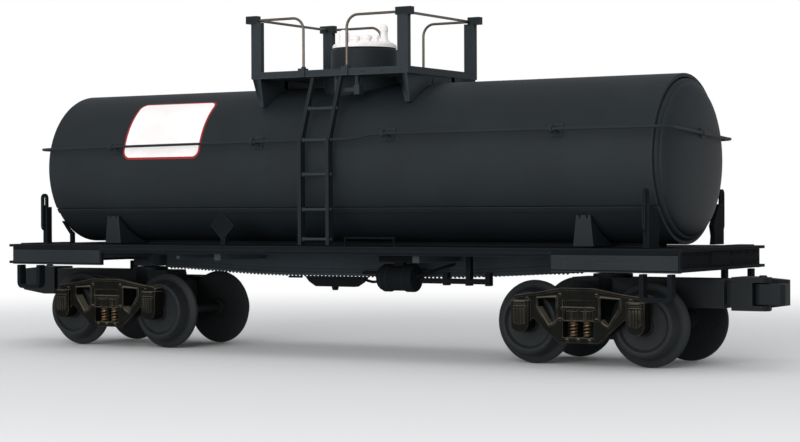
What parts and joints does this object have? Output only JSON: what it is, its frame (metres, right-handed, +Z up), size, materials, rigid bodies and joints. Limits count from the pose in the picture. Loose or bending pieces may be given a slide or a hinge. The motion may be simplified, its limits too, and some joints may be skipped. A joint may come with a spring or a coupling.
{
  "type": "model railway tank car",
  "caption": "O gauge model tank car: horizontal tank on a flat frame with a railed dome walkway, ladders, swivelling trucks with turning wheelsets, and knuckle couplers.",
  "frame": {"origin": "floor plane under the middle of the car, where the wheel flanges touch z = 0", "axes": "+X along the car towards the picture's right end, +Y away from the pictured side, +Z up"},
  "size_m": [0.2876, 0.0654, 0.1086],
  "materials": {
    "tank_paint": "satin charcoal paint",
    "white_paint": "matt white",
    "rail_metal": "grey-brown drawn wire",
    "frame_plastic": "satin black",
    "truck_metal": "satin black",
    "sideframe_metal": "blackened casting, rubbed brown at its edges",
    "wheel_steel": "blackened steel"
  },
  "bodies": {
    "carbody": {"tank_upper_shell": "tank_paint", "tank_lower_shell": "tank_paint", "tank_head_right": "tank_paint", "tank_head_left": "tank_paint", "dome": "tank_paint", "walkway": "tank_paint", "saddle_right_near": "tank_paint", "saddle_right_far": "tank_paint", "saddle_left_near": "tank_paint", "saddle_left_far": "tank_paint", "dome_cover": "white_paint", "walkway_wire_1": "rail_metal", "walkway_wire_2": "rail_metal", "walkway_wire_3": "rail_metal", "walkway_wire_4": "rail_metal", "walkway_wire_5": "rail_metal", "walkway_wire_6": "rail_metal", "handrail_left": "frame_plastic", "handrail_right": "frame_plastic", "end_bracket_left_near": "frame_plastic", "end_bracket_left_far": "frame_plastic", "ladder_near": "frame_plastic", "ladder_far": "frame_plastic", "deck": "frame_plastic", "centre_sill": "frame_plastic", "placard_near": "frame_plastic", "placard_far": "frame_plastic", "brake_valve": "frame_plastic", "brake_reservoir": "frame_plastic", "brake_rod": "frame_plastic", "end_post_right_near": "frame_plastic", "end_post_right_far": "frame_plastic", "end_post_left_near": "frame_plastic", "end_post_left_far": "frame_plastic", "stirrup_right_near": "frame_plastic", "stirrup_right_far": "frame_plastic", "stirrup_left_near": "frame_plastic", "stirrup_left_far": "frame_plastic"},
    "truck_right": {"sideframe_right_1": "sideframe_metal", "sideframe_right_2": "sideframe_metal", "truck_frame_right": "truck_metal"},
    "truck_left": {"sideframe_left_1": "sideframe_metal", "sideframe_left_2": "sideframe_metal", "truck_frame_left": "truck_metal"},
    "axle_right_outer": {"wheelset_right_outer": "wheel_steel"},
    "axle_right_inner": {"wheelset_right_inner": "wheel_steel"},
    "axle_left_outer": {"wheelset_left_outer": "wheel_steel"},
    "axle_left_inner": {"wheelset_left_inner": "wheel_steel"},
    "coupler_knuckle_right": {"knuckle_right": "truck_metal"},
    "coupler_knuckle_left": {"knuckle_left": "truck_metal"}
  },
  "joints": [
    {"name": "truck_right_swivel", "type": "hinge", "parent": "carbody", "child": "truck_right", "pos_m": [0.0882, 0, 0.0268], "axis": [0, 0, 1], "range_deg": [-15, 15]},
    {"name": "axle_right_outer_spin", "type": "hinge", "parent": "truck_right", "child": "axle_right_outer", "pos_m": [0.1068, 0, 0.0125], "axis": [0, 1, 0], "continuous": true},
    {"name": "axle_right_inner_spin", "type": "hinge", "parent": "truck_right", "child": "axle_right_inner", "pos_m": [0.0696, 0, 0.0125], "axis": [0, 1, 0], "continuous": true},
    {"name": "knuckle_right_open", "type": "hinge", "parent": "truck_right", "child": "coupler_knuckle_right", "pos_m": [0.1368, -0.0028, 0.02145], "axis": [0, 0, -1], "range_deg": [0, 40]},
    {"name": "truck_left_swivel", "type": "hinge", "parent": "carbody", "child": "truck_left", "pos_m": [-0.0882, 0, 0.0268], "axis": [0, 0, 1], "range_deg": [-15, 15]},
    {"name": "axle_left_outer_spin", "type": "hinge", "parent": "truck_left", "child": "axle_left_outer", "pos_m": [-0.1068, 0, 0.0125], "axis": [0, 1, 0], "continuous": true},
    {"name": "axle_left_inner_spin", "type": "hinge", "parent": "truck_left", "child": "axle_left_inner", "pos_m": [-0.0696, 0, 0.0125], "axis": [0, 1, 0], "continuous": true},
    {"name": "knuckle_left_open", "type": "hinge", "parent": "truck_left", "child": "coupler_knuckle_left", "pos_m": [-0.1368, 0.0028, 0.02145], "axis": [0, 0, -1], "range_deg": [0, 40]}
  ]
}
